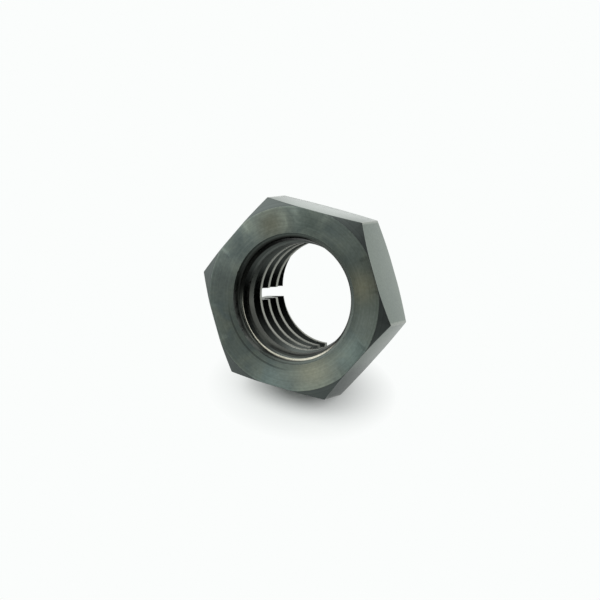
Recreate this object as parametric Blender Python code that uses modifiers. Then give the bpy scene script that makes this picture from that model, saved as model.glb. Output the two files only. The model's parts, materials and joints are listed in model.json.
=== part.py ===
"""Slotted self-locking hex nut, M12 x 1.75, lying as it falls on a table.

Units are metres, +Z up. The nut is modelled in its own frame: the axis is Z, the seat face is at
z = 0, the collar ends at the top, X points to a hex corner and Y to the middle of a flat.
At the end everything is tilted into its resting place: the nut lies on the back edge of the flat
at +Y and on the rim of its collar, with the surface at z = 0.
"""
import math

import bmesh
import bpy
from mathutils import Matrix, Vector

# Hexagon
ACROSS_FLATS = 0.0170
HEX_HEIGHT = 0.00495
FACE_OVERHANG = 0.00015     # how far the seat face's circle runs past the middle of the flats
CHAMFER_ANGLE = 28.0        # corner chamfer, degrees from the seat face
BACK_OVERHANG = 0.00090     # the same two sizes on the collar's side
BACK_CHAMFER_ANGLE = 45.0

# Thread
THREAD_DIAMETER = 0.0120
THREAD_PITCH = 0.00175
THREAD_START = 0.00123      # height of a crest over the seat face, at the hex corner on +X
COUNTERSINK_RIM = 0.0001    # countersink mouth outside the thread's major radius
COUNTERSINK_ANGLE = 53.0    # whole angle of the countersink, degrees

# Collar and its saw cuts
COLLAR_LENGTH = 0.00385
COLLAR_WALL = 0.00078       # steel outside the thread's major radius
COLLAR_CHAMFER = 0.0002     # outer edge at the collar's end
SAW_CUTS = 2
SLOT_WIDTH = 0.0011
SLOT_REACH = 0.0010         # how far the slots run into the hexagon, at the bore's wall
SLOT_TURN = 165.8           # degrees round the axis from +X to the first slot
SAW_DIAMETER = 0.0320
PINCH_ANGLE = 1.5           # how far each tongue is squeezed inwards, degrees
ROOT_GAP = 0.0003           # clearance between a tongue's root and the hexagon

# Fineness of the round surfaces
ROUND_STEPS = 96
THREAD_STEPS = 48
SAW_STEPS = 96

HEIGHT = HEX_HEIGHT + COLLAR_LENGTH
FLAT_RADIUS = ACROSS_FLATS / 2
CORNER_RADIUS = FLAT_RADIUS / math.cos(math.radians(30))
MAJOR_RADIUS = THREAD_DIAMETER / 2
MINOR_RADIUS = MAJOR_RADIUS - THREAD_PITCH * math.sqrt(3) * 5 / 16
COLLAR_RADIUS = MAJOR_RADIUS + COLLAR_WALL
ROOT_HEIGHT = HEX_HEIGHT + ROOT_GAP
HINGE_RADIUS = (MINOR_RADIUS + COLLAR_RADIUS) / 2
HINGE_HEIGHT = HEX_HEIGHT + ROOT_GAP / 2
TONGUES = 2 * SAW_CUTS
OVERCUT = THREAD_PITCH      # how far a cutter runs past what it cuts
WELD = 1e-7


def clear_scene():
    for obj in list(bpy.data.objects):
        bpy.data.objects.remove(obj, do_unlink=True)


def new_collection(name):
    collection = bpy.data.collections.new(name)
    bpy.context.scene.collection.children.link(collection)
    return collection


def add_object(name, mesh, collection):
    obj = bpy.data.objects.new(name, mesh)
    collection.objects.link(obj)
    return obj


def mark_cutter(obj):
    obj.hide_render = True
    obj.display_type = "WIRE"
    return obj


def steel(name, color, roughness):
    """Blackened steel: a thin dark oxide on bare metal."""
    material = bpy.data.materials.new(name)
    material.use_nodes = True
    shader = material.node_tree.nodes["Principled BSDF"]
    shader.inputs["Base Color"].default_value = (*color, 1.0)
    shader.inputs["Metallic"].default_value = 0.8
    shader.inputs["Roughness"].default_value = roughness
    return material


def cylinder(name, collection, sides, low_radius, high_radius, low, high, turn=0.0):
    """Upright prism or cone between two heights; turn is in degrees."""
    bm = bmesh.new()
    place = Matrix.Translation((0, 0, (low + high) / 2)) @ Matrix.Rotation(math.radians(turn), 4, "Z")
    bmesh.ops.create_cone(bm, cap_ends=True, segments=sides, radius1=low_radius, radius2=high_radius,
                          depth=high - low, matrix=place)
    mesh = bpy.data.meshes.new(name)
    bm.to_mesh(mesh)
    bm.free()
    return add_object(name, mesh, collection)


def turned(name, collection, profile, closed):
    """Turn a profile of (radius, height) points, top to bottom, once round the axis."""
    count = len(profile)
    edges = [(i, (i + 1) % count) for i in range(count if closed else count - 1)]
    mesh = bpy.data.meshes.new(name)
    mesh.from_pydata([(radius, 0, height) for radius, height in profile], edges, [])
    obj = add_object(name, mesh, collection)
    screw = obj.modifiers.new("turn", "SCREW")
    screw.axis = "Z"
    screw.steps = ROUND_STEPS
    screw.render_steps = ROUND_STEPS
    screw.use_merge_vertices = True
    screw.merge_threshold = WELD
    return obj


def boolean(obj, cutter, operation):
    modifier = obj.modifiers.new(cutter.name, "BOOLEAN")
    modifier.operation = operation
    modifier.solver = "EXACT"
    modifier.object = cutter


def evaluated_mesh(obj):
    """The object's mesh with its modifiers applied, welded, with its faces pointing out."""
    depsgraph = bpy.context.evaluated_depsgraph_get()
    depsgraph.update()
    mesh = bpy.data.meshes.new_from_object(obj.evaluated_get(depsgraph))
    bm = bmesh.new()
    bm.from_mesh(mesh)
    bmesh.ops.remove_doubles(bm, verts=bm.verts, dist=WELD)
    bmesh.ops.recalc_face_normals(bm, faces=bm.faces)
    bm.to_mesh(mesh)
    bm.free()
    return mesh


def make_mesh_object(obj):
    """Put the finished mesh in the place of the modifiers that made it."""
    mesh = evaluated_mesh(obj)
    obj.modifiers.clear()
    obj.data = mesh
    return obj


def close_to_axis(bm, edges, height):
    """Close an open end with a fan of faces that meets on the axis."""
    made = bmesh.ops.extrude_edge_only(bm, edges=edges)
    tips = [item for item in made["geom"] if isinstance(item, bmesh.types.BMVert)]
    bmesh.ops.pointmerge(bm, verts=tips, merge_co=(0, 0, height))


def make_tap(collection):
    """Solid bolt core of the metric thread: a groove profile wound along the helix, closed at both ends."""
    pitch = THREAD_PITCH
    groove = [
        (MINOR_RADIUS, pitch * 9 / 8),
        (MINOR_RADIUS, pitch * 7 / 8),
        (MAJOR_RADIUS, pitch * 9 / 16),
        (MAJOR_RADIUS, pitch * 7 / 16),
        (MINOR_RADIUS, pitch * 1 / 8),
    ]
    turns_below = 1 + math.ceil((THREAD_START + OVERCUT) / pitch)
    turns = turns_below + math.ceil((HEIGHT + OVERCUT) / pitch)
    tap = turned("thread_tap", collection, groove, closed=False)
    screw = tap.modifiers["turn"]
    screw.steps = THREAD_STEPS
    screw.render_steps = THREAD_STEPS
    screw.use_merge_vertices = False
    screw.screw_offset = pitch
    screw.iterations = turns
    make_mesh_object(tap)
    bm = bmesh.new()
    bm.from_mesh(tap.data)
    rims = [edge for edge in bm.edges if edge.is_boundary]
    middle = turns * pitch / 2
    low_rim = [edge for edge in rims if edge.verts[0].co.z < middle]
    high_rim = [edge for edge in rims if edge.verts[0].co.z > middle]
    close_to_axis(bm, low_rim, -pitch)
    close_to_axis(bm, high_rim, (turns + 2) * pitch)
    bmesh.ops.recalc_face_normals(bm, faces=bm.faces)
    bm.to_mesh(tap.data)
    bm.free()
    tap.data.transform(Matrix.Translation((0, 0, THREAD_START - turns_below * pitch)))
    return mark_cutter(tap)


def make_countersink(collection):
    """Cone that opens the thread's mouth in the seat face, turned so that its edges cross the thread's."""
    slope = math.tan(math.radians(COUNTERSINK_ANGLE / 2))
    mouth = MAJOR_RADIUS + COUNTERSINK_RIM
    tip = MINOR_RADIUS / 2
    half_step = 180 / ROUND_STEPS
    cone = cylinder("countersink", collection, ROUND_STEPS, mouth + OVERCUT * slope, tip,
                    -OVERCUT, (mouth - tip) / slope, turn=half_step)
    return mark_cutter(cone)


def make_saws(collection):
    """Slitting saws plunged along the axis, so the slots' floors are arcs of the blade."""
    radius = SAW_DIAMETER / 2
    bore_sag = radius - math.sqrt(radius ** 2 - MINOR_RADIUS ** 2)
    centre = HEX_HEIGHT - SLOT_REACH - bore_sag + radius
    saws = []
    for index in range(SAW_CUTS):
        saw = cylinder(f"slitting_saw_{index + 1}", collection, SAW_STEPS, radius, radius,
                       -SLOT_WIDTH / 2, SLOT_WIDTH / 2)
        across = Matrix.Rotation(math.radians(90), 4, "X")
        turn = Matrix.Rotation(math.radians(SLOT_TURN + 180 * index / SAW_CUTS), 4, "Z")
        saw.data.transform(Matrix.Translation((0, 0, centre)) @ turn @ across)
        saws.append(mark_cutter(saw))
    return saws


def chamfer_depth(radius, circle, angle):
    """How far a chamfer that starts at a circle has cut down the hexagon at a larger radius."""
    return (radius - circle) * math.tan(math.radians(angle))


def make_hex_body(parts, cutters, tap, countersink, saws):
    """Hexagon with its corners chamfered on both sides, countersunk, sawn and tapped."""
    body = cylinder("hex_body", parts, 6, CORNER_RADIUS, CORNER_RADIUS, -OVERCUT, HEX_HEIGHT + OVERCUT, turn=30)
    face_radius = FLAT_RADIUS + FACE_OVERHANG
    back_radius = FLAT_RADIUS + BACK_OVERHANG
    blank_radius = CORNER_RADIUS + FACE_OVERHANG
    blank = turned("chamfered_blank", cutters, [
        (0, HEX_HEIGHT),
        (back_radius, HEX_HEIGHT),
        (blank_radius, HEX_HEIGHT - chamfer_depth(blank_radius, back_radius, BACK_CHAMFER_ANGLE)),
        (blank_radius, chamfer_depth(blank_radius, face_radius, CHAMFER_ANGLE)),
        (face_radius, 0),
        (0, 0),
    ], closed=False)
    mark_cutter(blank)
    boolean(body, blank, "INTERSECT")
    for cutter in (countersink, *saws, tap):
        boolean(body, cutter, "DIFFERENCE")
    return make_mesh_object(body)


def make_tongues(parts, tap, saws):
    """Collar turned in one ring, sawn into separate tongues and tapped."""
    bore = MINOR_RADIUS / 2
    collar = turned("collar", parts, [
        (bore, HEIGHT),
        (COLLAR_RADIUS - COLLAR_CHAMFER, HEIGHT),
        (COLLAR_RADIUS, HEIGHT - COLLAR_CHAMFER),
        (COLLAR_RADIUS, ROOT_HEIGHT),
        (bore, ROOT_HEIGHT),
    ], closed=True)
    for cutter in (*saws, tap):
        boolean(collar, cutter, "DIFFERENCE")
    make_mesh_object(collar)
    bpy.ops.object.select_all(action="DESELECT")
    bpy.context.view_layer.objects.active = collar
    collar.select_set(True)
    bpy.ops.mesh.separate(type="LOOSE")
    return list(bpy.context.selected_objects)


def middle_angle(obj):
    """Angle round the axis of a tongue's middle, counted from the first slot."""
    centre = sum((vertex.co for vertex in obj.data.vertices), Vector()) / len(obj.data.vertices)
    return (math.atan2(centre.y, centre.x) - math.radians(SLOT_TURN)) % (2 * math.pi)


def hinge_tongue(tongue, index, parts):
    """Put a tongue's origin on the line it bends about and squeeze it inwards."""
    turn = math.radians(SLOT_TURN + 360 * (index + 0.5) / TONGUES)
    hinge = bpy.data.objects.new(f"tongue_root_{index + 1}", None)
    parts.objects.link(hinge)
    hinge.matrix_world = (Matrix.Rotation(turn, 4, "Z")
                          @ Matrix.Translation((HINGE_RADIUS, 0, HINGE_HEIGHT)))
    tongue.name = f"locking_tongue_{index + 1}"
    tongue.data.transform(hinge.matrix_world.inverted())
    tongue.parent = hinge
    tongue.rotation_euler = (0, -math.radians(PINCH_ANGLE), 0)
    return hinge


def nut_points(objects):
    bpy.context.view_layer.update()
    return [obj.matrix_world @ vertex.co for obj in objects for vertex in obj.data.vertices]


def rest_on_table(body, tongues, hinges, parts):
    """Tilt the nut until the flat's back edge and the collar's rim both touch z = 0."""
    tilt = min(math.atan2(FLAT_RADIUS - point.y, point.z - HEX_HEIGHT)
               for point in nut_points(tongues) if point.z > HEX_HEIGHT + COLLAR_LENGTH / 2)
    turn = Matrix.Rotation(-math.pi / 2 - tilt, 4, "X")
    placed = [turn @ point for point in nut_points([body, *tongues])]
    low = Vector([min(point[axis] for point in placed) for axis in range(3)])
    high = Vector([max(point[axis] for point in placed) for axis in range(3)])
    middle = (low + high) / 2
    pose = bpy.data.objects.new("resting_pose", None)
    parts.objects.link(pose)
    pose.matrix_world = Matrix.Translation((-middle.x, -middle.y, -low.z)) @ turn
    for obj in (body, *hinges):
        obj.parent = pose


def main():
    clear_scene()
    parts = new_collection("locking_hex_nut")
    cutters = new_collection("cutters")
    tap = make_tap(cutters)
    countersink = make_countersink(cutters)
    saws = make_saws(cutters)
    body = make_hex_body(parts, cutters, tap, countersink, saws)
    tongues = sorted(make_tongues(parts, tap, saws), key=middle_angle)
    hinges = [hinge_tongue(tongue, index, parts) for index, tongue in enumerate(tongues)]
    body.data.materials.append(steel("blackened_steel_hexagon", (0.085, 0.092, 0.085), 0.38))
    collar_steel = steel("blackened_steel_collar", (0.060, 0.064, 0.061), 0.42)
    for tongue in tongues:
        tongue.data.materials.append(collar_steel)
    for obj in (body, *tongues):
        obj.data.shade_smooth()
        obj.data.set_sharp_from_angle(angle=math.radians(20))
    rest_on_table(body, tongues, hinges, parts)


main()
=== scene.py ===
"""Looks of a slotted self-locking hex nut in blackened steel, lying on a white table."""
import json
import math

import bmesh
import bpy
from mathutils import Matrix, Vector


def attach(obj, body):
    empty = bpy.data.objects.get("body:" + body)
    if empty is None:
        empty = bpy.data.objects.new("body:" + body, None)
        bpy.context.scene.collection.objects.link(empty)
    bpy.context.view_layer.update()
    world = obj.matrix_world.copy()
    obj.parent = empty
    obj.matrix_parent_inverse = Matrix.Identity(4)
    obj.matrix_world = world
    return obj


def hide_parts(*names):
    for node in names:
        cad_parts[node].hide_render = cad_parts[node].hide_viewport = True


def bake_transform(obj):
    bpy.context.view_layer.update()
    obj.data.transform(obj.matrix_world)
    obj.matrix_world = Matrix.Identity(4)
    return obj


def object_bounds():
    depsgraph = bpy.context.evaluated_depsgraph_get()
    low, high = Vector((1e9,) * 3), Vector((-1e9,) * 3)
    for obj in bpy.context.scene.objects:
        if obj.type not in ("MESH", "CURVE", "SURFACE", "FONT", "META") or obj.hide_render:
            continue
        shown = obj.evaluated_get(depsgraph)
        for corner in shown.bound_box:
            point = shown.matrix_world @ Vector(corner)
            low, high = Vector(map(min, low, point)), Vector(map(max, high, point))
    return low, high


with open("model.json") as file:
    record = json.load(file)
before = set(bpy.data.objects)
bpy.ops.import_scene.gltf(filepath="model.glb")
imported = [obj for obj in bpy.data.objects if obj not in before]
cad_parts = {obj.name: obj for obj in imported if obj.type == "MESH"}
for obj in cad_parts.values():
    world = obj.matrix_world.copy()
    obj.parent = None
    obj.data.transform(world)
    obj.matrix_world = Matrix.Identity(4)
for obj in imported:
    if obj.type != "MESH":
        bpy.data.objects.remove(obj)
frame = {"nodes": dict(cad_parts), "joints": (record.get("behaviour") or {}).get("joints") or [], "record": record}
CAD_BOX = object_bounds()

MM = 0.001

# Turned and drawn shape of the nut, in its own frame: axis +Z from the seat face to the collar's end
FACE_OVERHANG = 0.15 * MM      # how far the seat face's circle runs past the middle of the flats
CHAMFER_ANGLE = 28.0           # corner chamfer, degrees from the seat face
BACK_OVERHANG = 0.10 * MM      # the same two sizes on the collar's side
BACK_CHAMFER_ANGLE = 24.0
CHAMFER_BLEND = 0.06 * MM      # half width of the soft edge where a chamfer starts
CORNER_ROUND = 0.10 * MM       # drawn edges between two flats
EDGE_ROUND = 0.06 * MM         # tumbled edges of the hexagon
ROOT_FILLET = 0.20 * MM        # tool radius where the collar leaves the hexagon
COLLAR_CHAMFER = 0.20 * MM

# Thread, countersink and saw cuts
THREAD_PITCH = 1.75 * MM
THREAD_START = 1.23 * MM       # height of a crest over the seat face, at the hex corner on +X
CREST_ROUND = 0.05 * MM
COUNTERSINK_INSET = 0.25 * MM  # countersink's cone inside the thread's major radius, at the seat face
COUNTERSINK_ANGLE = 30.0
MOUTH_ROUND = 0.42 * MM        # rounded edge at the mouth
MOUTH_FLATTENING = 0.1         # depth of that edge's corner point, as a share of its size
SAW_CUTS = 2
SLOT_WIDTH = 1.1 * MM
SLOT_REACH = 1.0 * MM          # how far the slots run into the hexagon, at the bore's wall
SLOT_TURN = 165.8              # degrees round the axis from +X to the first slot
SAW_DIAMETER = 32.0 * MM
PINCH_ANGLE = 1.5              # how far each tongue is squeezed inwards, degrees
BEND_START = 0.3 * MM          # a tongue starts this far behind the hexagon
BEND_LENGTH = 0.8 * MM         # stretch of collar over which a tongue bends

# Fineness of the mesh
FLAT_STEPS = 7                 # points on each stretch of a flat
CORNER_STEPS = 4
ROUND_STEPS = 4
BEND_STEPS = 4
THREAD_STEPS = 132
TURNED_STEPS = 250
SMOOTH_ANGLE = 30.0
TRUST = 0.8                    # least cosine between a face and a tool's direction that is kept on it
WELD = 1e-7

# Sorting of faces by the tool that left them: cosines from a face's direction to the one named
WALL_COSINE = 0.99             # slot's wall: at least this, to straight across the slot
FLOOR_COSINE = 0.9             # slot's floor: at least this, to the axis
SLOT_SHARE = 0.51              # slot's faces: at most this share of its width from its middle
BORE_COSINE = 0.2              # bore: at least this, to straight inwards
LIP_COSINE = 0.997             # mouth's rounded edge: at most this, to the axis
FLAT_COSINE = 0.3              # hexagon's flats: at most this, to the axis
CHAMFER_COSINE = 0.97          # hexagon's chamfers: at most this, to the axis

# Camera, from a fit to the hexagon's corners in the picture
VIEW_DIRECTION = (27.12, 34.15)  # azimuth from the front and elevation, degrees
VIEW_DISTANCE = 235.46 * MM
VIEW_AIM = Vector((-0.596, -0.923, 7.948)) * MM
LENS = 150.0
SENSOR = 36.0

# Oxide tints on the seat face, some lighter or darker as a painted sheen: degrees round the axis, mm from the
# axis, mm across, colour
OXIDE_AND_SHEEN_TINTS = (
    (60, 6.9, 2.8, "#929584"),
    (180, 7.4, 2.4, "#646d69"),
    (210, 7.6, 2.6, "#5b6562"),
    (270, 7.4, 2.6, "#58625c"),
    (240, 7.2, 2.6, "#65675a"),
    (336, 7.0, 2.4, "#9fa08a"),
    (305, 7.8, 2.2, "#818c85"),
    (0, 7.8, 2.0, "#858f87"),
    (95, 8.3, 2.4, "#83938f"),
    (25, 8.0, 2.4, "#84948e"),
)
# Painted light and shade on the flats: the top flat lighter as a painted reflection, next to the lowest corner
# darker as painted shade; degrees round the axis, colour
FLAT_LIGHT_AND_SHADE = ((270, "#a8b0aa"), (56, "#5b6260"))

# Marks, wear and painted light and shade: radii and depths in mm from the axis and the seat face, turns in degrees
# round the axis
SEAT_SHADE = (6.1, 7.0)        # radii over which the seat's oxide turns from its darkest to its plain shade
DWELL_RADIUS = 6.72            # dark ring where the facing tool paused
DWELL_WIDTH = 0.10             # half the width of that ring
DWELL_TURN = 122.0             # to the middle of that ring
EDGE_RUB_AND_HIGHLIGHT = (0.03, 0.12)        # distance from the hexagon's edges over which their bright band, rubbed steel and a painted highlight, ends
RUB_TURN = 100.0               # to the middle of the bright edge next to the countersink: rubbed bare by bolts, and a painted highlight on the side that catches the light
RUB_WIDEST = 68.0              # to where that edge is widest
RUB_WIDTH = (0.12, 0.34)       # its least and greatest width
RUB_DEPTH = 1.1                # the deepest that it runs
RIM_DEPTH = (0.03, 0.11)       # depths over which the countersink turns from grey to black
CLIPPED_DEPTH = (1.3, 1.7)     # depths over which the countersink's black ends, on the first crest
FADED_TURN = 143.0             # to where the countersink is lightest
GREYER_TURN = 325.0            # to where the countersink's black is lighter
SHADE_TURN = 252.0             # to where the countersink's painted shade is deepest
SHADE_START = (0.2, 0.4)       # depths over which that painted shade starts
SHADE_END = (1.3, 1.6)         # depths over which it ends
CONE_WIDTH = 0.15              # how near to the countersink's cone counts as on it
CREST_EDGE = (0.02, 0.08)      # distances outside the crest's radius over which its painted reflection ends
FIRST_TURN_END = 2.95          # depth from which the crests are painted bright, a painted reflection

# Studio: a white table, a softbox on the left and a black flag at the front right
STUDIO_WHITE = "#fbfdfc"
FLOOR_SIZE = 4000 * MM
FLOOR_MIRRORED = 0.3           # share of the table's glow that shows in the steel
# The nut's shadow fades out over an oval: its middle from the middle of the box's front, and its half sizes
SHADOW_MIDDLE = Vector((1.0, 3.5, 0.0)) * MM
SHADOW_REACH = Vector((11.0, 9.5, 1000.0)) * MM
SHADOW_FADE = (0.15, 0.85)     # shares of its half size where the shadow starts to fade and where it ends
SOFTBOX_DIRECTION = (-70.0, 38.0)  # as for the camera
SOFTBOX_DISTANCE = 500 * MM
SOFTBOX_SIZE = 620 * MM
SOFTBOX_POWER = 2.1
FLAG_DIRECTION = (30.0, 25.0)
FLAG_DISTANCE = 450 * MM
FLAG_FLATTENING = 1.4          # the flag is wider than it is high
FLAG_SPREAD = (30.0, 72.0)     # degrees from its middle where the flag starts to thin and where it ends


def nut_frame():
    """Matrix from the nut's own frame to the row frame, read from its seat face."""
    seat = next(mount for mount in frame["record"]["mounts"] if mount["name"] == "seat_face")
    along = -Vector(seat["axis"]).normalized()
    across = Vector((1, 0, 0))
    down = along.cross(across)
    place = Matrix((across, down, along)).transposed().to_4x4()
    place.translation = (0, seat["pos_m"][1], seat["pos_m"][2])
    return place


def hinge_turn(joint, degrees):
    """Turn about a tongue's hinge, in the row frame; outwards is positive."""
    pivot = Matrix.Translation(joint["pos_m"])
    return pivot @ Matrix.Rotation(math.radians(degrees), 4, Vector(joint["axis"])) @ pivot.inverted()


def nut_points(node, unbend=Matrix()):
    """Points of a CAD node in the nut's own frame, after an optional turn in the row frame."""
    to_nut = NUT.inverted() @ unbend
    return [to_nut @ vertex.co for vertex in frame["nodes"][node].data.vertices]


def axis_distance(point):
    """Distance of a point from the nut's axis, in the nut's own frame."""
    return math.hypot(point.x, point.y)


NUT = nut_frame()
BODY_NODES = frame["record"]["behaviour"]["bodies"]
HINGES = frame["joints"]
TONGUE_COUNT = len(HINGES)
HEX_POINTS = nut_points("hex_body")
COLLAR_POINTS = [point for hinge in HINGES
                 for point in nut_points(BODY_NODES[hinge["child"]][0], hinge_turn(hinge, PINCH_ANGLE))]
HEX_HEIGHT = max(point.z for point in HEX_POINTS)
FLAT_RADIUS = max(axis_distance(point) for point in HEX_POINTS) * math.cos(math.radians(30))
MINOR_RADIUS = min(axis_distance(point) for point in HEX_POINTS)
MAJOR_RADIUS = MINOR_RADIUS + THREAD_PITCH * math.sqrt(3) * 5 / 16
COLLAR_RADIUS = max(axis_distance(point) for point in COLLAR_POINTS)
HEIGHT = max(point.z for point in COLLAR_POINTS)
FACE_RADIUS = FLAT_RADIUS + FACE_OVERHANG
BACK_RADIUS = FLAT_RADIUS + BACK_OVERHANG
MOUTH_RADIUS = MAJOR_RADIUS - COUNTERSINK_INSET
TONGUE_START = HEX_HEIGHT + BEND_START


def polar(radius, degrees, height=0.0):
    """Point at a radius, a turn round the axis and a height."""
    angle = math.radians(degrees)
    return Vector((radius * math.cos(angle), radius * math.sin(angle), height))


def direction(azimuth, elevation):
    """Unit vector from the nut towards a place in the studio; azimuth 0 is the front."""
    turn = math.radians(azimuth)
    lift = math.radians(elevation)
    return Vector((math.sin(turn) * math.cos(lift), -math.cos(turn) * math.cos(lift), math.sin(lift)))


def arc(start, corner, end, steps=ROUND_STEPS):
    """Points of a soft corner from start to end, drawn towards corner."""
    shares = [index / steps for index in range(steps + 1)]
    return [start * (1 - t) ** 2 + corner * 2 * t * (1 - t) + end * t ** 2 for t in shares]


def softened(points, radius):
    """Polyline with its inner corners rounded."""
    corners = [Vector(point) for point in points]
    made = [corners[0]]
    for before, corner, after in zip(corners, corners[1:], corners[2:]):
        start = corner + (before - corner).normalized() * radius
        end = corner + (after - corner).normalized() * radius
        made += arc(start, corner, end)
    return made + [corners[-1]]


def new_object(name, data):
    """Object in the scene that holds a mesh, lamp or camera."""
    obj = bpy.data.objects.new(name, data)
    bpy.context.scene.collection.objects.link(obj)
    return obj


def skin(name, rows, ring):
    """Closed mesh of quads over rows of points; ring joins the last row to the first."""
    count = len(rows[0])
    joints = len(rows) if ring else len(rows) - 1
    faces = []
    for index in range(joints):
        here = index * count
        there = (index + 1) % len(rows) * count
        faces += [(here + j, there + j, there + j + 1, here + j + 1) for j in range(count - 1)]
    mesh = bpy.data.meshes.new(name)
    mesh.from_pydata([point for row in rows for point in row], [], faces)
    bm = bmesh.new()
    bm.from_mesh(mesh)
    bmesh.ops.remove_doubles(bm, verts=bm.verts, dist=WELD)
    bmesh.ops.dissolve_degenerate(bm, edges=bm.edges, dist=WELD)
    close_ends(bm, [edge for edge in bm.edges if edge.is_boundary])
    bmesh.ops.recalc_face_normals(bm, faces=bm.faces)
    bm.to_mesh(mesh)
    bm.free()
    return new_object(name, mesh)


def close_ends(bm, rims):
    """Fans from the open low and high rims, if there are any, to points on the axis beyond them."""
    if not rims:
        return
    heights = [edge.verts[0].co.z for edge in rims]
    middle = (min(heights) + max(heights)) / 2
    low_rim = [edge for edge in rims if edge.verts[0].co.z < middle]
    high_rim = [edge for edge in rims if edge.verts[0].co.z > middle]
    for rim, tip in ((low_rim, min(heights) - THREAD_PITCH), (high_rim, max(heights) + THREAD_PITCH)):
        made = bmesh.ops.extrude_edge_only(bm, edges=rim)
        tips = [item for item in made["geom"] if isinstance(item, bmesh.types.BMVert)]
        bmesh.ops.pointmerge(bm, verts=tips, merge_co=(0, 0, tip))


def hexagon_outline():
    """Points round the hexagon, with rounded edges and a point wherever a chamfer starts."""
    face_start = math.sqrt(FACE_RADIUS ** 2 - FLAT_RADIUS ** 2)
    back_start = math.sqrt(BACK_RADIUS ** 2 - FLAT_RADIUS ** 2)
    flat_end = (FLAT_RADIUS - CORNER_ROUND) * math.tan(math.radians(30))
    ahead = sorted((face_start, back_start, flat_end))
    stops = [-stop for stop in reversed(ahead)] + ahead
    outline = []
    for side in range(6):
        middle = 30 + 60 * side
        out = polar(1, middle)
        along = polar(1, middle + 90)
        for low, high in zip(stops, stops[1:]):
            outline += [out * FLAT_RADIUS + along * (low + (high - low) * step / FLAT_STEPS)
                        for step in range(FLAT_STEPS)]
        centre = polar((FLAT_RADIUS - CORNER_ROUND) / math.cos(math.radians(30)), middle + 30)
        outline += [centre + polar(CORNER_ROUND, middle + 60 * step / CORNER_STEPS)
                    for step in range(CORNER_STEPS)]
    return outline


def chamfer_depth(radius, circle, angle):
    """How deep a chamfer that starts at a circle cuts at a radius, with a soft edge at its start."""
    slope = math.tan(math.radians(angle))
    past = radius - circle
    if past <= -CHAMFER_BLEND:
        return 0.0
    if past < CHAMFER_BLEND:
        return slope * (past + CHAMFER_BLEND) ** 2 / (4 * CHAMFER_BLEND)
    return slope * past


def blank_profile(edge):
    """(radius, height) points from the axis over the seat face, flat, back face and collar to the axis."""
    def seat(radius):
        return Vector((radius, chamfer_depth(radius, FACE_RADIUS, CHAMFER_ANGLE)))

    def back(radius):
        return Vector((radius, HEX_HEIGHT - chamfer_depth(radius, BACK_RADIUS, BACK_CHAMFER_ANGLE)))

    inner = edge - EDGE_ROUND
    lift = Vector((0, EDGE_ROUND))
    blend = [CHAMFER_BLEND * step / ROUND_STEPS for step in range(-ROUND_STEPS, ROUND_STEPS + 1)]
    profile = [seat(radius) for radius in (0.0, MINOR_RADIUS, (MAJOR_RADIUS + FACE_RADIUS) / 2)]
    profile += [seat(min(FACE_RADIUS + step, inner)) for step in blend]
    profile += arc(seat(inner), seat(edge), seat(edge) + lift)
    profile += arc(back(edge) - lift, back(edge), back(inner))
    profile += [back(min(BACK_RADIUS + step, inner)) for step in reversed(blend)]
    profile += arc(Vector((COLLAR_RADIUS + ROOT_FILLET, HEX_HEIGHT)), Vector((COLLAR_RADIUS, HEX_HEIGHT)),
                   Vector((COLLAR_RADIUS, HEX_HEIGHT + ROOT_FILLET)))
    profile += [Vector((COLLAR_RADIUS, TONGUE_START + BEND_LENGTH * step / BEND_STEPS))
                for step in range(BEND_STEPS)]
    profile += softened([
        (COLLAR_RADIUS, TONGUE_START + BEND_LENGTH),
        (COLLAR_RADIUS, HEIGHT - COLLAR_CHAMFER),
        (COLLAR_RADIUS - COLLAR_CHAMFER, HEIGHT),
        (MINOR_RADIUS, HEIGHT)], COLLAR_CHAMFER / 4)
    return profile + [Vector((0, HEIGHT))]


def make_blank():
    """The nut turned and drawn, before its bore and slots are cut."""
    rows = []
    for point in hexagon_outline():
        out = point.normalized()
        rows.append([out * place.x + Vector((0, 0, place.y)) for place in blank_profile(point.length)])
    return skin("nut_blank", rows, ring=True)


def make_tap():
    """Core of the metric thread: a groove wound along the helix."""
    pitch = THREAD_PITCH
    groove = softened([
        (MINOR_RADIUS, pitch),
        (MINOR_RADIUS, pitch * 7 / 8),
        (MAJOR_RADIUS, pitch * 9 / 16),
        (MAJOR_RADIUS, pitch * 7 / 16),
        (MINOR_RADIUS, pitch * 1 / 8),
        (MINOR_RADIUS, 0)], CREST_ROUND)
    turns_below = 2 + math.ceil(THREAD_START / pitch)
    turns = turns_below + 1 + math.ceil(HEIGHT / pitch)
    rows = []
    for step in range(turns * THREAD_STEPS + 1):
        turn = step / THREAD_STEPS
        rise = THREAD_START + (turn - turns_below) * pitch
        rows.append([polar(place.x, 360 * turn, place.y + rise) for place in groove])
    return skin("thread_tap", rows, ring=False)


def turned(name, profile):
    """Solid turned from (radius, height) points that start and end on the axis."""
    half_step = 180 / TURNED_STEPS
    rows = [[polar(radius, 360 * step / TURNED_STEPS + half_step, height) for radius, height in profile]
            for step in range(TURNED_STEPS)]
    return skin(name, rows, ring=True)


def make_countersink():
    """Cone that opens the thread's mouth, with a rounded edge at the seat face."""
    slope = math.tan(math.radians(COUNTERSINK_ANGLE / 2))
    tip = MINOR_RADIUS / 2
    depth = (MOUTH_RADIUS - tip) / slope
    rim = arc(Vector((MOUTH_RADIUS + MOUTH_ROUND, 0)), Vector((MOUTH_RADIUS, MOUTH_ROUND * MOUTH_FLATTENING)),
              Vector((MOUTH_RADIUS - MOUTH_ROUND * slope, MOUTH_ROUND)), steps=2 * ROUND_STEPS)
    outside = MOUTH_RADIUS + 2 * MOUTH_ROUND
    profile = [(0, -THREAD_PITCH), (outside, -THREAD_PITCH), (outside, -MOUTH_ROUND / 4)]
    profile += [tuple(point) for point in rim]
    return turned("countersink", profile + [(tip, depth), (0, depth)])


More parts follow.
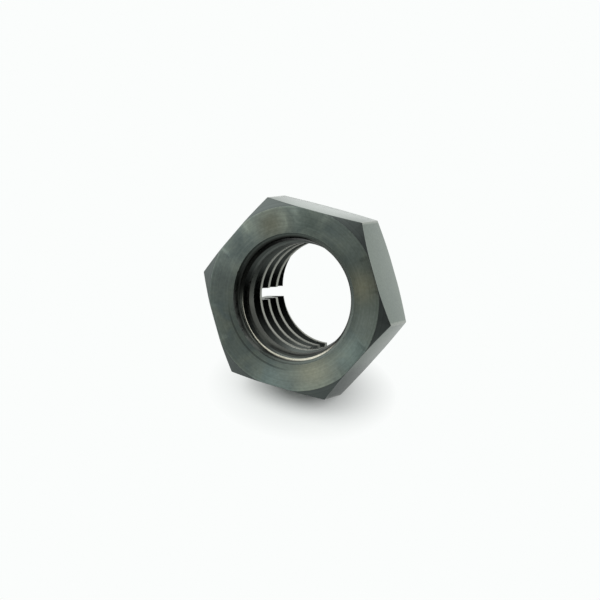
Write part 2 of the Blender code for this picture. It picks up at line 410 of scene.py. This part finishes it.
def make_saws():
    """Slitting saws plunged along the axis, so the slots' floors are arcs of the blade."""
    radius = SAW_DIAMETER / 2
    bore_sag = radius - math.sqrt(radius ** 2 - MINOR_RADIUS ** 2)
    centre = HEX_HEIGHT - SLOT_REACH - bore_sag + radius
    half = SLOT_WIDTH / 2
    saws = []
    for index in range(SAW_CUTS):
        saw = turned(f"slitting_saw_{index + 1}", [(0, half), (radius, half), (radius, -half), (0, -half)])
        across = Matrix.Rotation(math.radians(90), 4, "X")
        turn = Matrix.Rotation(math.radians(SLOT_TURN + 180 * index / SAW_CUTS), 4, "Z")
        saw.data.transform(Matrix.Translation((0, 0, centre)) @ turn @ across)
        saws.append(saw)
    return saws


def keep_tool_normals(mesh, side):
    """Note each face corner's smooth direction, so that it outlives the cuts; side is -1 on a cutter."""
    mesh.shade_smooth()
    mesh.set_sharp_from_angle(angle=math.radians(SMOOTH_ANGLE))
    directions = [side * value for corner in mesh.corner_normals for value in corner.vector]
    mesh.attributes.new("tool_normal", "FLOAT_VECTOR", "CORNER").data.foreach_set("vector", directions)


def read_tool_normals(mesh):
    """Each face corner's direction as its tool left it; new faces have only their own."""
    kept = mesh.attributes["tool_normal"]
    normals = []
    for polygon in mesh.polygons:
        for corner in polygon.loop_indices:
            normal = Vector(kept.data[corner].vector)
            trusted = normal.length > 0.5 and normal.normalized().dot(polygon.normal) > TRUST
            normals.append(normal.normalized() if trusted else polygon.normal.copy())
    mesh.attributes.remove(kept)
    return normals


def cut_nut():
    """The whole nut as one mesh: blank, countersunk, sawn and tapped."""
    blank = make_blank()
    cutters = [make_countersink(), *make_saws(), make_tap()]
    for cutter in cutters:
        modifier = blank.modifiers.new(cutter.name, "BOOLEAN")
        modifier.operation = "DIFFERENCE"
        modifier.solver = "MANIFOLD"
        modifier.object = cutter
    keep_tool_normals(blank.data, 1)
    for cutter in cutters:
        keep_tool_normals(cutter.data, -1)
    depsgraph = bpy.context.evaluated_depsgraph_get()
    mesh = bpy.data.meshes.new_from_object(blank.evaluated_get(depsgraph))
    for obj in (blank, *cutters):
        bpy.data.objects.remove(obj)
    return mesh


def sector(point):
    """Which tongue a point of the collar belongs to, counted from the first slot."""
    angle = math.degrees(math.atan2(point.y, point.x))
    return int((angle - SLOT_TURN) % 360 // (360 / TONGUE_COUNT))


def cut_piece(nut, name, tongue=None):
    """The hexagon's side of the nut, or one tongue of the collar, closed where they part."""
    above = tongue is not None
    bm = bmesh.new()
    bm.from_mesh(nut)
    cut = bmesh.ops.bisect_plane(bm, geom=bm.verts[:] + bm.edges[:] + bm.faces[:], dist=WELD,
                                 plane_co=(0, 0, TONGUE_START), plane_no=(0, 0, 1),
                                 clear_inner=above, clear_outer=not above)
    rims = [item for item in cut["geom_cut"] if isinstance(item, bmesh.types.BMEdge)]
    bmesh.ops.holes_fill(bm, edges=[edge for edge in rims if edge.is_boundary])
    if above:
        others = [vert for vert in bm.verts if sector(vert.co) != tongue]
        bmesh.ops.delete(bm, geom=others, context="VERTS")
    bmesh.ops.recalc_face_normals(bm, faces=bm.faces)
    mesh = bpy.data.meshes.new(name)
    bm.to_mesh(mesh)
    bm.free()
    return new_object(name, mesh)


def surface_kind(centre, normal):
    """Which tool left a face, from its place and direction in the nut's own frame."""
    radius = axis_distance(centre)
    outward = normal.dot(Vector((centre.x, centre.y, 0))) / radius
    for cut in range(SAW_CUTS):
        across = polar(1, SLOT_TURN + 180 * cut / SAW_CUTS + 90)
        on_wall = abs(normal.dot(across)) > WALL_COSINE
        on_floor = normal.z > FLOOR_COSINE and centre.z < HEX_HEIGHT - EDGE_ROUND
        near_middle = abs(centre.dot(across)) < SLOT_WIDTH * SLOT_SHARE
        in_slot = near_middle and radius < COLLAR_RADIUS + SLOT_WIDTH
        if in_slot and (on_wall or on_floor):
            return "sawn"
    on_lip = centre.z < MOUTH_ROUND and abs(normal.z) < LIP_COSINE
    if radius < MOUTH_RADIUS + MOUTH_ROUND and (outward < -BORE_COSINE or on_lip):
        return "tapped"
    if radius > FLAT_RADIUS - EDGE_ROUND and abs(normal.z) < FLAT_COSINE:
        return "drawn"
    if radius > FLAT_RADIUS - EDGE_ROUND and abs(normal.z) < CHAMFER_COSINE:
        return "chamfered"
    return "turned"


def finish_piece(piece, materials):
    """Give each face its finish, even out the shading and move the piece into its resting place."""
    mesh = piece.data
    kinds = list(materials)
    for kind in kinds:
        mesh.materials.append(materials[kind])
    for polygon in mesh.polygons:
        polygon.material_index = kinds.index(surface_kind(polygon.center, polygon.normal))
    place = mesh.attributes.new("nut_place", "FLOAT_VECTOR", "POINT")
    place.data.foreach_set("vector", [value / MM for vertex in mesh.vertices for value in vertex.co])
    normals = read_tool_normals(mesh)
    mesh.shade_smooth()
    mesh.transform(NUT)
    turn = NUT.to_3x3()
    mesh.normals_split_custom_set([turn @ normal for normal in normals])


def bend_tongue(piece, hinge):
    """Squeeze a straight tongue inwards over its root."""
    to_nut = NUT.inverted()
    for vertex in piece.data.vertices:
        share = min(max(((to_nut @ vertex.co).z - TONGUE_START) / BEND_LENGTH, 0), 1)
        bend = share * share * (3 - 2 * share)
        vertex.co = hinge_turn(hinge, -PINCH_ANGLE * bend) @ vertex.co


def make_nut():
    """The hexagon, riding on its body, and the four tongues."""
    nut = cut_nut()
    materials = {
        "turned": turned_steel(),
        "chamfered": chamfered_steel(),
        "drawn": drawn_steel(),
        "tapped": tapped_steel(),
        "sawn": sawn_steel(),
    }
    hexagon = cut_piece(nut, "chamfered_hexagon")
    finish_piece(hexagon, materials)
    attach(hexagon, "nut")
    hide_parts("hex_body")
    for index, hinge in enumerate(HINGES):
        tongue = cut_piece(nut, f"spring_tongue_{index + 1}", tongue=index)
        finish_piece(tongue, materials)
        bend_tongue(tongue, hinge)
        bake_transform(tongue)
        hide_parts(*BODY_NODES[hinge["child"]])


def srgb(code):
    """Linear RGBA from a hex colour."""
    shares = [int(code[place:place + 2], 16) / 255 for place in (1, 3, 5)]
    linear = [share / 12.92 if share <= 0.04045 else ((share + 0.055) / 1.055) ** 2.4 for share in shares]
    return (*linear, 1.0)


def add(tree, kind, links, **settings):
    """Add a node: settings are its own, links give each input a value or another node's output."""
    made = tree.nodes.new(kind)
    for name, value in settings.items():
        setattr(made, name, value)
    for name, value in links.items():
        if isinstance(value, bpy.types.NodeSocket):
            tree.links.new(value, made.inputs[name])
        else:
            made.inputs[name].default_value = value
    return made.outputs


def new_material(name):
    """Material, its node tree and its Principled shader."""
    material = bpy.data.materials.new(name)
    material.use_nodes = True
    tree = material.node_tree
    return material, tree, tree.nodes["Principled BSDF"]


def nut_coordinates(tree):
    """Place in the nut's own frame in mm, the same without its height, and the distance from the axis."""
    place = add(tree, "ShaderNodeAttribute", {}, attribute_name="nut_place")["Vector"]
    flat_place = add(tree, "ShaderNodeVectorMath", {0: place, 1: (1, 1, 0)}, operation="MULTIPLY")[0]
    radius = add(tree, "ShaderNodeVectorMath", {0: flat_place}, operation="LENGTH")["Value"]
    return place, flat_place, radius


def facing(tree, flat_place, degrees, start, end):
    """Share that rises to 1 towards one direction round the axis; start and end are cosines."""
    out = add(tree, "ShaderNodeVectorMath", {0: flat_place}, operation="NORMALIZE")[0]
    cosine = add(tree, "ShaderNodeVectorMath", {0: out, 1: polar(1, degrees)},
                 operation="DOT_PRODUCT")["Value"]
    return add(tree, "ShaderNodeMapRange", {0: cosine, 1: start, 2: end},
               interpolation_type="SMOOTHSTEP")[0]


def dress(tree, shader, color, roughness, relief, depth):
    """Link a bare metal's colour, roughness and relief to its shader; depth of the relief in metres."""
    bump = add(tree, "ShaderNodeBump", {"Height": relief, "Strength": 1.0, "Distance": depth})[0]
    tree.links.new(color, shader.inputs["Base Color"])
    tree.links.new(roughness, shader.inputs["Roughness"])
    tree.links.new(bump, shader.inputs["Normal"])
    shader.inputs["Metallic"].default_value = 1.0


def turned_steel():
    """Black oxide on turned steel: charcoal with olive and blue-green tints, some of which are painted sheen, and
    a sheen that fans out across the rings that the tool left."""
    material, tree, shader = new_material("black_oxide_turned_steel")
    place, flat_place, radius = nut_coordinates(tree)
    height = add(tree, "ShaderNodeSeparateXYZ", {0: place})[2]
    across = add(tree, "ShaderNodeMath", {0: radius, 1: height}, operation="ADD")[0]
    # Rings 0.16 mm apart, coarser than the tool's feed so that they show
    rings = add(tree, "ShaderNodeTexNoise", {"W": across, "Scale": 1 / 0.16, "Detail": 2.0, "Roughness": 0.5},
                noise_dimensions="1D")[0]
    # Oxide patches of about 2.5 mm, and specks of 0.3 mm
    patches = add(tree, "ShaderNodeTexNoise", {"Vector": place, "Scale": 1 / 2.5, "Detail": 4.0,
                                               "Roughness": 0.6, "Distortion": 0.8})[0]
    specks = add(tree, "ShaderNodeTexNoise", {"Vector": place, "Scale": 1 / 0.3, "Detail": 2.0})[0]
    patch_share = add(tree, "ShaderNodeMapRange", {0: patches, 1: 0.35, 2: 0.65})[0]
    color = add(tree, "ShaderNodeMix", {0: patch_share, 6: srgb("#707c79"), 7: srgb("#80897f")},
                data_type="RGBA")[2]
    # Oxide tints, some lighter or darker to paint the face's sheen round the axis
    for angle, distance, size, code in OXIDE_AND_SHEEN_TINTS:
        away = add(tree, "ShaderNodeVectorMath", {0: flat_place, 1: polar(distance, angle)},
                   operation="DISTANCE")["Value"]
        ragged = add(tree, "ShaderNodeMath", {0: patches, 1: size, 2: away}, operation="MULTIPLY_ADD")[0]
        share = add(tree, "ShaderNodeMapRange", {0: ragged, 1: size * 0.5, 2: size * 1.6, 3: 0.9, 4: 0.0},
                    interpolation_type="SMOOTHSTEP")[0]
        color = add(tree, "ShaderNodeMix", {0: share, 6: color, 7: srgb(code)}, data_type="RGBA")[2]
    dwell_side = facing(tree, flat_place, DWELL_TURN, 0.70, 0.92)
    on_dwell = add(tree, "ShaderNodeMath", {0: radius, 1: DWELL_RADIUS, 2: DWELL_WIDTH},
                   operation="COMPARE")[0]
    dwell = add(tree, "ShaderNodeMath", {0: on_dwell, 1: dwell_side}, operation="MULTIPLY")[0]
    ring_shade = add(tree, "ShaderNodeMapRange", {0: rings, 1: 0.3, 2: 0.7, 3: 0.92, 4: 1.06})[0]
    speck_shade = add(tree, "ShaderNodeMapRange", {0: specks, 1: 0.3, 2: 0.7, 3: 0.90, 4: 1.08})[0]
    dwell_shade = add(tree, "ShaderNodeMapRange", {0: dwell, 3: 1.0, 4: 0.6})[0]
    # The oxide is darkest next to the bore
    mouth_shade = add(tree, "ShaderNodeMapRange", {0: radius, 1: SEAT_SHADE[0], 2: SEAT_SHADE[1], 3: 0.78})[0]
    for shade in (ring_shade, speck_shade, dwell_shade, mouth_shade):
        color = add(tree, "ShaderNodeVectorMath", {0: color, "Scale": shade}, operation="SCALE")[0]
    roughness = add(tree, "ShaderNodeMapRange", {0: patches, 1: 0.3, 2: 0.7, 3: 0.36, 4: 0.44})[0]
    dress(tree, shader, color, roughness, rings, 0.002 * MM)
    tree.links.new(across_rings(tree, flat_place), shader.inputs["Tangent"])
    shader.inputs["Anisotropic"].default_value = 0.75
    return material


def across_rings(tree, flat_place):
    """Direction in the surface across the tool's rings, in the row frame: the sheen stretches along it."""
    split = add(tree, "ShaderNodeSeparateXYZ", {0: flat_place})
    right = add(tree, "ShaderNodeVectorMath", {0: NUT.col[1].xyz, "Scale": split[0]},
                operation="SCALE")[0]
    down = add(tree, "ShaderNodeVectorMath", {0: -NUT.col[0].xyz, "Scale": split[1]},
               operation="SCALE")[0]
    along = add(tree, "ShaderNodeVectorMath", {0: right, 1: down}, operation="ADD")[0]
    normal = add(tree, "ShaderNodeNewGeometry", {})["Normal"]
    return add(tree, "ShaderNodeVectorMath", {0: along, 1: normal}, operation="CROSS_PRODUCT")[0]


def chamfered_steel():
    """Black oxide on the roughly turned corner chamfers: duller and darker than the seat face."""
    material, tree, shader = new_material("black_oxide_chamfered_steel")
    place, _, radius = nut_coordinates(tree)
    # Turning marks 0.2 mm apart and oxide patches of 1.5 mm
    rings = add(tree, "ShaderNodeTexNoise", {"W": radius, "Scale": 1 / 0.2, "Detail": 2.0},
                noise_dimensions="1D")[0]
    patches = add(tree, "ShaderNodeTexNoise", {"Vector": place, "Scale": 1 / 1.5, "Detail": 4.0})[0]
    grey = add(tree, "ShaderNodeMix", {0: patches, 6: srgb("#4e5453"), 7: srgb("#626865")},
               data_type="RGBA")[2]
    shade = add(tree, "ShaderNodeMapRange", {0: rings, 1: 0.3, 2: 0.7, 3: 0.9, 4: 1.08})[0]
    color = add(tree, "ShaderNodeVectorMath", {0: grey, "Scale": shade}, operation="SCALE")[0]
    roughness = add(tree, "ShaderNodeMapRange", {0: patches, 1: 0.3, 2: 0.7, 3: 0.52, 4: 0.60})[0]
    dress(tree, shader, color, roughness, rings, 0.003 * MM)
    return material


def drawn_steel():
    """Black oxide on drawn bar: smooth grey-green satin with faint lines along the bar, and bright edges that are
    partly rubbed steel and partly a painted highlight.
    """
    material, tree, shader = new_material("black_oxide_drawn_steel")
    place, flat_place, radius = nut_coordinates(tree)
    # Die lines 0.15 mm apart, ten times as long as wide
    along = add(tree, "ShaderNodeVectorMath", {0: place, 1: (1, 1, 0.1)}, operation="MULTIPLY")[0]
    lines = add(tree, "ShaderNodeTexNoise", {"Vector": along, "Scale": 1 / 0.15, "Detail": 2.0})[0]
    specks = add(tree, "ShaderNodeTexNoise", {"Vector": place, "Scale": 1 / 0.2, "Detail": 3.0})[0]
    patches = add(tree, "ShaderNodeTexNoise", {"Vector": place, "Scale": 1 / 2.5, "Detail": 3.0})[0]
    grey = add(tree, "ShaderNodeMix", {0: patches, 6: srgb("#7b847f"), 7: srgb("#8a928a")},
               data_type="RGBA")[2]
    # Painted reflection on the top flat and painted shade next to the lowest corner, where the nut rests
    for angle, code in FLAT_LIGHT_AND_SHADE:
        share = facing(tree, flat_place, angle, 0.88, 1.0)
        grey = add(tree, "ShaderNodeMix", {0: share, 6: grey, 7: srgb(code)}, data_type="RGBA")[2]
    shade = add(tree, "ShaderNodeMapRange", {0: specks, 1: 0.3, 2: 0.7, 3: 0.93, 4: 1.07})[0]
    # Bright edges, partly rubbed steel and partly a painted highlight
    rubbed = add(tree, "ShaderNodeMath", {0: rubbed_and_highlit_edge(tree, place, radius), 1: specks},
                 operation="MULTIPLY")[0]
    shaded_base = add(tree, "ShaderNodeVectorMath", {0: grey, "Scale": shade}, operation="SCALE")[0]
    color = add(tree, "ShaderNodeMix", {0: rubbed, 6: shaded_base, 7: srgb("#b9bbb4")}, data_type="RGBA")[2]
    roughness = add(tree, "ShaderNodeMapRange", {0: lines, 1: 0.3, 2: 0.7, 3: 0.12, 4: 0.18})[0]
    dress(tree, shader, color, roughness, lines, 0.0006 * MM)
    return material


def rubbed_and_highlit_edge(tree, place, radius):
    """Share that rises to 1 within a tenth of a millimetre of the hexagon's edges: rubbed steel and a painted
    highlight.
    """
    height = add(tree, "ShaderNodeSeparateXYZ", {0: place})[2]
    corner = (FLAT_RADIUS - CORNER_ROUND) / math.cos(math.radians(30)) + CORNER_ROUND
    gaps = [add(tree, "ShaderNodeMath", {0: corner / MM, 1: radius}, operation="SUBTRACT")[0]]
    sides = ((FACE_RADIUS, CHAMFER_ANGLE, 0.0, 1), (BACK_RADIUS, BACK_CHAMFER_ANGLE, HEX_HEIGHT, -1))
    for circle, angle, face, inwards in sides:
        past = add(tree, "ShaderNodeMath", {0: radius, 1: circle / MM}, operation="SUBTRACT")[0]
        outside = add(tree, "ShaderNodeMath", {0: past, 1: 0.0}, operation="MAXIMUM")[0]
        chamfer = add(tree, "ShaderNodeMath", {0: outside, 1: math.tan(math.radians(angle))},
                      operation="MULTIPLY")[0]
        depth = add(tree, "ShaderNodeMath", {0: height, 1: inwards, 2: -inwards * face / MM},
                    operation="MULTIPLY_ADD")[0]
        gaps.append(add(tree, "ShaderNodeMath", {0: depth, 1: chamfer}, operation="SUBTRACT")[0])
    nearest = gaps[0]
    for gap in gaps[1:]:
        nearest = add(tree, "ShaderNodeMath", {0: nearest, 1: gap}, operation="MINIMUM")[0]
    return add(tree, "ShaderNodeMapRange", {0: nearest, 1: EDGE_RUB_AND_HIGHLIGHT[0], 2: EDGE_RUB_AND_HIGHLIGHT[1], 3: 1.0, 4: 0.0},
               interpolation_type="SMOOTHSTEP")[0]


def tapped_steel():
    """Tapped thread: black flanks, crests painted bright as a painted reflection, and an edge that bolts rubbed
    bare, kept to the side where it catches the light as a painted highlight.
    """
    material, tree, shader = new_material("black_oxide_tapped_steel")
    place, flat_place, radius = nut_coordinates(tree)
    height = add(tree, "ShaderNodeSeparateXYZ", {0: place})[2]
    # Grain of about 0.3 mm
    grain = add(tree, "ShaderNodeTexNoise", {"Vector": place, "Scale": 1 / 0.3, "Detail": 3.0})[0]
    crest = MINOR_RADIUS / MM
    # Crests painted bright past the first turn: a painted reflection of the white surroundings
    on_crest = add(tree, "ShaderNodeMapRange", {0: radius, 1: crest + CREST_EDGE[0], 2: crest + CREST_EDGE[1],
                                                3: 1.0, 4: 0.0}, interpolation_type="SMOOTHSTEP")[0]
    past_first = add(tree, "ShaderNodeMath", {0: height, 1: FIRST_TURN_END}, operation="GREATER_THAN")[0]
    crest_reflection = add(tree, "ShaderNodeMath", {0: on_crest, 1: past_first}, operation="MULTIPLY")[0]
    flank = add(tree, "ShaderNodeMix", {0: grain, 6: srgb("#3c403e"), 7: srgb("#4c504d")},
                data_type="RGBA")[2]
    thread = add(tree, "ShaderNodeMix", {0: crest_reflection, 6: flank, 7: srgb("#a8a9a1")}, data_type="RGBA")[2]
    slope = math.tan(math.radians(COUNTERSINK_ANGLE / 2))
    reach = add(tree, "ShaderNodeMath", {0: height, 1: slope, 2: radius}, operation="MULTIPLY_ADD")[0]
    on_cone = add(tree, "ShaderNodeMath", {0: reach, 1: MOUTH_RADIUS / MM, 2: CONE_WIDTH},
                  operation="COMPARE")[0]
    on_rim = add(tree, "ShaderNodeMath", {0: height, 1: MOUTH_ROUND / MM}, operation="LESS_THAN")[0]
    at_mouth = add(tree, "ShaderNodeMath", {0: on_cone, 1: on_rim}, operation="MAXIMUM")[0]
    cut = add(tree, "ShaderNodeMix", {0: at_mouth, 6: thread, 7: countersunk_color(tree, flat_place, height)},
              data_type="RGBA")[2]
    # Painted shade on the countersink's upper side, near black
    shaded_base = add(tree, "ShaderNodeMix", {0: countersink_shade(tree, flat_place, height), 6: cut, 7: srgb("#1c1e1c")},
               data_type="RGBA")[2]
    ridge = first_ridge(tree, place, flat_place, radius)
    # The edge rubbed bare, kept to its lower side where it catches the light: part wear, part painted highlight
    bare = add(tree, "ShaderNodeMath", {0: ridge, 1: on_cone}, operation="MULTIPLY")[0]
    color = add(tree, "ShaderNodeMix", {0: bare, 6: shaded_base, 7: srgb("#e2dfcd")}, data_type="RGBA")[2]
    roughness = add(tree, "ShaderNodeMapRange", {0: grain, 1: 0.3, 2: 0.7, 3: 0.26, 4: 0.36})[0]
    dress(tree, shader, color, roughness, grain, 0.0012 * MM)
    # Thick oxide stays dark where it is seen at a slant
    shader.inputs["Specular Tint"].default_value = srgb("#c0c0c0")
    # The rubbed edge is torn and scatters light
    metal = add(tree, "ShaderNodeMapRange", {0: bare, 3: 1.0, 4: 0.3})[0]
    tree.links.new(metal, shader.inputs["Metallic"])
    return material


def countersunk_color(tree, flat_place, height):
    """Countersink's colour: grey at its mouth, black behind that, lighter towards one side where it clips the
    first crest.
    """
    greyer_side = facing(tree, flat_place, GREYER_TURN, 0.5, 0.85)
    faded_side = facing(tree, flat_place, FADED_TURN, 0.8, 0.98)
    rub_side = facing(tree, flat_place, RUB_TURN, 0.0, 0.5)
    whole = add(tree, "ShaderNodeMix", {0: greyer_side, 6: srgb("#2b2d2b"), 7: srgb("#5e625e")},
                data_type="RGBA")[2]
    black = add(tree, "ShaderNodeMix", {0: faded_side, 6: whole, 7: srgb("#60645f")}, data_type="RGBA")[2]
    grey = add(tree, "ShaderNodeMix", {0: faded_side, 6: srgb("#4a504c"), 7: srgb("#9a9f9a")},
               data_type="RGBA")[2]
    clipped = add(tree, "ShaderNodeMix", {0: rub_side, 6: srgb("#565a57"), 7: srgb("#757772")},
                  data_type="RGBA")[2]
    deep = add(tree, "ShaderNodeMapRange", {0: height, 1: CLIPPED_DEPTH[0], 2: CLIPPED_DEPTH[1]})[0]
    cone = add(tree, "ShaderNodeMix", {0: deep, 6: black, 7: clipped}, data_type="RGBA")[2]
    rim = add(tree, "ShaderNodeMapRange", {0: height, 1: RIM_DEPTH[0], 2: RIM_DEPTH[1], 3: 1.0, 4: 0.0})[0]
    return add(tree, "ShaderNodeMix", {0: rim, 6: cone, 7: grey}, data_type="RGBA")[2]


def countersink_shade(tree, flat_place, height):
    """Share that rises to 1 where shade falls on the countersink's upper side, for a painted shade."""
    started = add(tree, "ShaderNodeMapRange", {0: height, 1: SHADE_START[0], 2: SHADE_START[1]})[0]
    not_ended = add(tree, "ShaderNodeMapRange", {0: height, 1: SHADE_END[0], 2: SHADE_END[1],
                                                 3: 1.0, 4: 0.0})[0]
    share = facing(tree, flat_place, SHADE_TURN, 0.64, 0.94)
    for limit in (started, not_ended):
        share = add(tree, "ShaderNodeMath", {0: share, 1: limit}, operation="MULTIPLY")[0]
    return share


def first_ridge(tree, place, flat_place, radius):
    """Share that rises to 1 along the edge where the countersink meets the first turn of the groove."""
    split = add(tree, "ShaderNodeSeparateXYZ", {0: place})
    angle = add(tree, "ShaderNodeMath", {0: split[1], 1: split[0]}, operation="ARCTAN2")[0]
    turn = add(tree, "ShaderNodeMath", {0: angle, 1: math.tau}, operation="DIVIDE")[0]
    rise = add(tree, "ShaderNodeMath", {0: split[2], 1: MM / THREAD_PITCH, 2: -THREAD_START / THREAD_PITCH},
               operation="MULTIPLY_ADD")[0]
    wound = add(tree, "ShaderNodeMath", {0: rise, 1: turn}, operation="SUBTRACT")[0]
    phase = add(tree, "ShaderNodeMath", {0: wound}, operation="FRACT")[0]
    # The groove's near flank opens from an eighth of the pitch at the crest
    flank = 5 / 16 * MM / (MAJOR_RADIUS - MINOR_RADIUS)
    edge = add(tree, "ShaderNodeMath", {0: radius, 1: flank, 2: 1 / 8 - flank * MINOR_RADIUS / MM},
               operation="MULTIPLY_ADD")[0]
    behind = add(tree, "ShaderNodeMath", {0: edge, 1: phase}, operation="SUBTRACT")[0]
    gap = add(tree, "ShaderNodeMath", {0: behind}, operation="ABSOLUTE")[0]
    widest_side = facing(tree, flat_place, RUB_WIDEST, 0.3, 0.9)
    least, greatest = (extent * MM / THREAD_PITCH for extent in RUB_WIDTH)
    width = add(tree, "ShaderNodeMapRange", {0: widest_side, 3: least, 4: greatest})[0]
    spread = add(tree, "ShaderNodeMath", {0: gap, 1: width}, operation="DIVIDE")[0]
    share = add(tree, "ShaderNodeMapRange", {0: spread, 1: 0.6, 2: 1.1, 3: 1.0, 4: 0.0})[0]
    near_mouth = add(tree, "ShaderNodeMath", {0: split[2], 1: RUB_DEPTH}, operation="LESS_THAN")[0]
    # Only on the lower side, where the edge catches the light: a painted highlight
    for limit in (near_mouth, facing(tree, flat_place, RUB_TURN, 0.26, 0.77)):
        share = add(tree, "ShaderNodeMath", {0: share, 1: limit}, operation="MULTIPLY")[0]
    return share


def sawn_steel():
    """Sawn slots: brighter grey, because the blade cut through the black, with fine marks of its teeth."""
    material, tree, shader = new_material("sawn_steel")
    place = nut_coordinates(tree)[0]
    # Tooth marks 0.12 mm apart, drawn out along the slot
    along = add(tree, "ShaderNodeVectorMath", {0: place, 1: (0.12, 0.12, 1)}, operation="MULTIPLY")[0]
    marks = add(tree, "ShaderNodeTexNoise", {"Vector": along, "Scale": 1 / 0.12, "Detail": 3.0})[0]
    color = add(tree, "ShaderNodeMix", {0: marks, 6: srgb("#7b7f79"), 7: srgb("#a2a59d")},
                data_type="RGBA")[2]
    roughness = add(tree, "ShaderNodeMapRange", {0: marks, 1: 0.3, 2: 0.7, 3: 0.34, 4: 0.44})[0]
    dress(tree, shader, color, roughness, marks, 0.004 * MM)
    return material


def plane_mesh(name, width, height):
    """Flat rectangle round the origin, facing +Z."""
    mesh = bpy.data.meshes.new(name)
    corners = [(x * width / 2, y * height / 2, 0) for x, y in ((-1, -1), (1, -1), (1, 1), (-1, 1))]
    mesh.from_pydata(corners, [], [(0, 1, 2, 3)])
    return mesh


def make_floor():
    """White table: it takes the nut's shadow, and away from the nut it is as white as the studio."""
    material, tree, shader = new_material("white_matt_table")
    shader.inputs["Base Color"].default_value = srgb("#d0d2d1")
    shader.inputs["Roughness"].default_value = 0.9
    shader.inputs["Specular IOR Level"].default_value = 0.1
    place = add(tree, "ShaderNodeTexCoord", {})["Object"]
    middle = Vector((0, CAD_BOX[0][1], 0)) + SHADOW_MIDDLE
    oval = add(tree, "ShaderNodeMapping", {"Vector": place, "Location": middle, "Scale": SHADOW_REACH},
               vector_type="TEXTURE")[0]
    distance = add(tree, "ShaderNodeVectorMath", {0: oval}, operation="LENGTH")["Value"]
    fade = add(tree, "ShaderNodeMapRange", {0: distance, 1: SHADOW_FADE[0], 2: SHADOW_FADE[1]})[0]
    ray = add(tree, "ShaderNodeLightPath", {})
    seen = add(tree, "ShaderNodeMath", {0: ray["Is Glossy Ray"], 1: FLOOR_MIRRORED, 2: ray["Is Camera Ray"]},
               operation="MULTIPLY_ADD")[0]
    share = add(tree, "ShaderNodeMath", {0: fade, 1: seen}, operation="MULTIPLY")[0]
    glow = add(tree, "ShaderNodeEmission", {"Color": srgb(STUDIO_WHITE), "Strength": 1.0})[0]
    mixed = add(tree, "ShaderNodeMixShader", {0: share, 1: shader.outputs[0], 2: glow})[0]
    tree.links.new(mixed, tree.nodes["Material Output"].inputs["Surface"])
    mesh = plane_mesh("white_table", FLOOR_SIZE, FLOOR_SIZE)
    mesh.materials.append(material)
    new_object("white_table", mesh)


def aim(obj, towards, distance, middle=Vector()):
    """Place an object in the studio so that it looks along its -Z at a middle."""
    obj.location = middle + towards * distance
    obj.rotation_euler = towards.to_track_quat("Z", "Y").to_euler()


def make_flag():
    """Black flag with soft edges: the dark front of the studio that the steel reflects."""
    material, tree, shader = new_material("black_flag_cloth")
    shader.inputs["Base Color"].default_value = srgb("#060606")
    shader.inputs["Specular IOR Level"].default_value = 0.0
    inner, outer = (FLAG_DISTANCE * math.tan(math.radians(angle)) for angle in FLAG_SPREAD)
    place = add(tree, "ShaderNodeTexCoord", {})["Object"]
    oval = add(tree, "ShaderNodeVectorMath", {0: place, 1: (1, FLAG_FLATTENING, 0)}, operation="MULTIPLY")[0]
    distance = add(tree, "ShaderNodeVectorMath", {0: oval}, operation="LENGTH")["Value"]
    thin = add(tree, "ShaderNodeMapRange", {0: distance, 1: inner, 2: outer},
               interpolation_type="SMOOTHSTEP")[0]
    clear = add(tree, "ShaderNodeBsdfTransparent", {})[0]
    mixed = add(tree, "ShaderNodeMixShader", {0: thin, 1: shader.outputs[0], 2: clear})[0]
    tree.links.new(mixed, tree.nodes["Material Output"].inputs["Surface"])
    mesh = plane_mesh("black_flag", 2 * outer, 2 * outer)
    mesh.materials.append(material)
    flag = new_object("black_flag", mesh)
    flag.visible_camera = False
    flag.visible_diffuse = False
    flag.visible_shadow = False
    aim(flag, direction(*FLAG_DIRECTION), FLAG_DISTANCE)


def make_lights():
    """White surroundings and one softbox on the left."""
    world = bpy.data.worlds.new("white_studio")
    world.use_nodes = True
    background = world.node_tree.nodes["Background"]
    background.inputs["Color"].default_value = srgb(STUDIO_WHITE)
    background.inputs["Strength"].default_value = 1.0
    bpy.context.scene.world = world
    light = bpy.data.lights.new("softbox", "AREA")
    light.shape = "SQUARE"
    light.size = SOFTBOX_SIZE
    light.energy = SOFTBOX_POWER
    softbox = new_object("softbox", light)
    softbox.visible_camera = False
    aim(softbox, direction(*SOFTBOX_DIRECTION), SOFTBOX_DISTANCE)


def make_camera():
    """Camera that sees the nut as the picture does."""
    data = bpy.data.cameras.new("camera")
    data.lens = LENS
    data.sensor_width = SENSOR
    data.clip_start = 1 * MM
    camera = new_object("camera", data)
    aim(camera, direction(*VIEW_DIRECTION), VIEW_DISTANCE, VIEW_AIM)
    bpy.context.scene.camera = camera


make_nut()
make_floor()
make_flag()
make_lights()
make_camera()
bpy.context.scene.view_settings.view_transform = "Standard"
